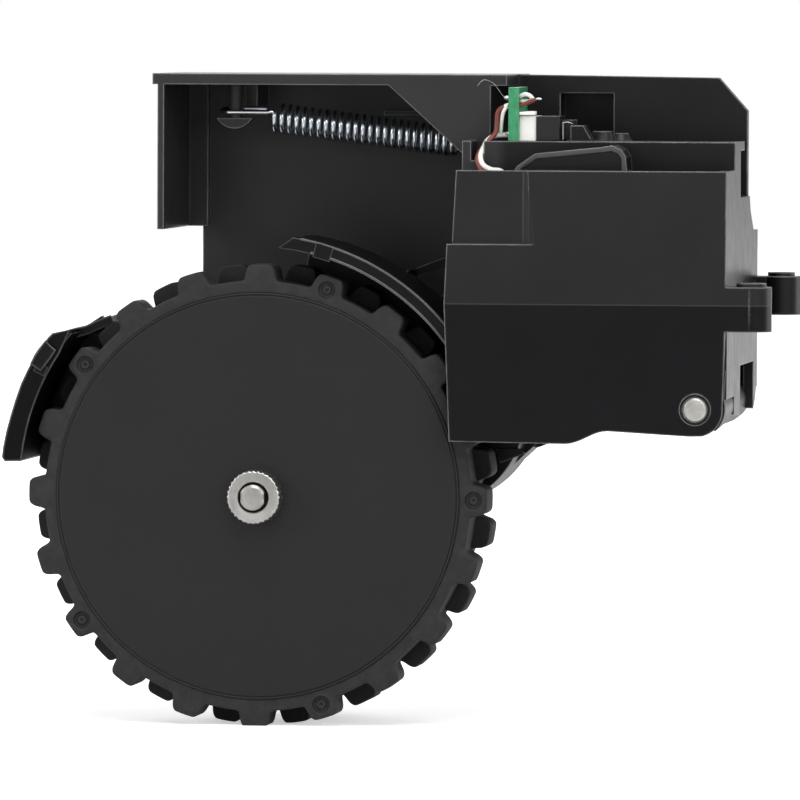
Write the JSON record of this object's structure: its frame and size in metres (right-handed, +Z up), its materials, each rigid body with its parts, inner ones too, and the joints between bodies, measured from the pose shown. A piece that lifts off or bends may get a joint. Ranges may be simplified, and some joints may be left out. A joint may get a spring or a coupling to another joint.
{
  "type": "robot vacuum wheel module",
  "caption": "Spring-loaded drive wheel module for a robot vacuum: geared motor arm, lugged wheel, wheel-drop switch and moulded frame.",
  "frame": {"origin": "centre of the front chassis screw hole, at its lower rim", "axes": "+X from the wheel towards the pivot, along the module; +Y from the wheel's outer face towards the back wall; +Z up, along the chassis screws"},
  "size_m": [0.1179, 0.0491, 0.0995],
  "materials": {
    "black_abs": "moulded ABS, fine matt texture",
    "black_abs_cover": "moulded ABS, fine matt texture with a parting line",
    "hub_plastic": "moulded ABS, very fine matt texture",
    "tread_rubber": "soft matt rubber",
    "ground_steel": "turned and ground",
    "zinc_steel": "zinc plated",
    "spring_zinc": "bright zinc plate",
    "motor_steel": "drawn can, nickel plated",
    "brass": "turned brass",
    "bronze": "sintered bronze",
    "green_board": "glass-fibre board with solder mask",
    "white_nylon": "natural nylon",
    "gear_acetal": "natural acetal",
    "switch_black": "glossy moulded housing",
    "lead_white": "PVC insulation",
    "lead_red": "PVC insulation"
  },
  "bodies": {
    "frame": {"chassis_frame": "black_abs", "front_cover": "black_abs_cover", "pivot_pin": "ground_steel", "cover_screws": "zinc_steel", "circuit_board": "green_board", "board_header": "white_nylon", "drop_switch": "switch_black", "return_spring": "spring_zinc", "motor_lead_white": "lead_white", "motor_lead_red": "lead_red"},
    "switch": {"switch_lever": "ground_steel"},
    "arm": {"swing_arm": "black_abs", "gearbox_cover": "black_abs", "gearbox_screws": "zinc_steel", "motor_can": "motor_steel", "motor_end_cap": "switch_black", "motor_terminals": "brass", "motor_screws": "zinc_steel", "pivot_bush_front": "bronze", "pivot_bush_rear": "bronze", "front_bearing": "ground_steel", "rear_bearing": "ground_steel", "slow_gear_pin": "ground_steel", "fast_gear_pin": "ground_steel"},
    "wheel": {"wheel_hub": "hub_plastic", "tyre": "tread_rubber", "wheel_shaft": "ground_steel", "retaining_nut": "ground_steel", "axle_spacer": "ground_steel", "output_gear": "gear_acetal", "shaft_clip": "zinc_steel"},
    "slow_train": {"slow_gear": "gear_acetal"},
    "fast_train": {"fast_gear": "gear_acetal"},
    "motor_rotor": {"motor_shaft": "ground_steel", "motor_pinion": "brass"}
  },
  "joints": [
    {"name": "arm_swing", "type": "hinge", "parent": "frame", "child": "arm", "pos_m": [-0.0082, 0.0188, -0.0118], "axis": [0, 1, 0], "range_deg": [0, 18], "stiffness_Nm_per_rad": 1.47, "springref_deg": -7.45, "deforming": ["return_spring", "motor_lead_white", "motor_lead_red"]},
    {"name": "wheel_spin", "type": "hinge", "parent": "arm", "child": "wheel", "pos_m": [-0.0759, 0.0078, -0.0258], "axis": [0, 1, 0], "continuous": true},
    {"name": "slow_gear_spin", "type": "hinge", "parent": "arm", "child": "slow_train", "pos_m": [-0.05164, 0.0268, -0.01349], "axis": [0, 1, 0], "continuous": true},
    {"name": "fast_gear_spin", "type": "hinge", "parent": "arm", "child": "fast_train", "pos_m": [-0.03904, 0.0308, -0.00347], "axis": [0, 1, 0], "continuous": true},
    {"name": "motor_spin", "type": "hinge", "parent": "arm", "child": "motor_rotor", "pos_m": [-0.02848, 0.0268, 0.00571], "axis": [0, 1, 0], "continuous": true},
    {"name": "switch_press", "type": "hinge", "parent": "frame", "child": "switch", "pos_m": [-0.0303, 0.0198, 0.0308], "axis": [0, -1, 0], "range_deg": [0, 8], "stiffness_Nm_per_rad": 0.004, "springref_deg": -20.05}
  ],
  "couplings": [
    {"joint": "slow_gear_spin", "follows": "wheel_spin", "ratio": -4.2308},
    {"joint": "fast_gear_spin", "follows": "wheel_spin", "ratio": 11.987},
    {"joint": "motor_spin", "follows": "wheel_spin", "ratio": -43.953}
  ]
}
